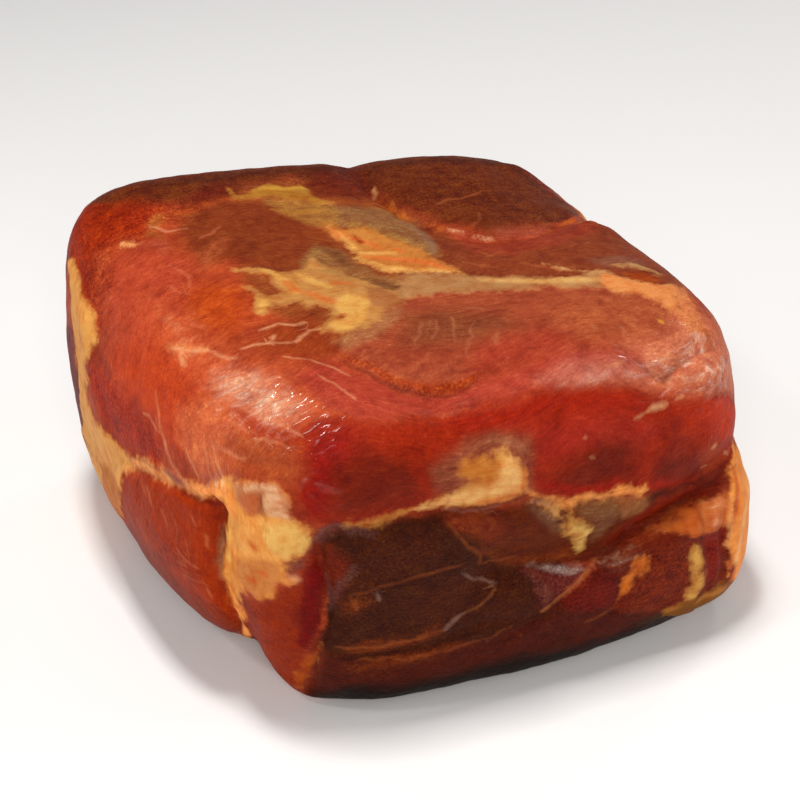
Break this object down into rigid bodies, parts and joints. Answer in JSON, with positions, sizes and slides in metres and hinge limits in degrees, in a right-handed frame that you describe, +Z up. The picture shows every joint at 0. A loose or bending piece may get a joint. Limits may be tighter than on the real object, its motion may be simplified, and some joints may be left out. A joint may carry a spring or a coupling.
{
  "type": "raw cured ham",
  "caption": "Boneless raw cured ham pressed into a rounded block, with creased seams between its muscles and a flat underside to rest on.",
  "frame": {"origin": "centre of the bounding box at the underside that rests on the surface", "axes": "+Z up through the block's shortest side, -Y out of the broad front, +X to the right of the front"},
  "size_m": [0.1932, 0.195, 0.1157],
  "materials": {
    "cured_meat": "moist cured meat, deep red with cream fat and a soft sheen"
  },
  "bodies": {
    "root": {"ham": "cured_meat"}
  },
  "joints": []
}
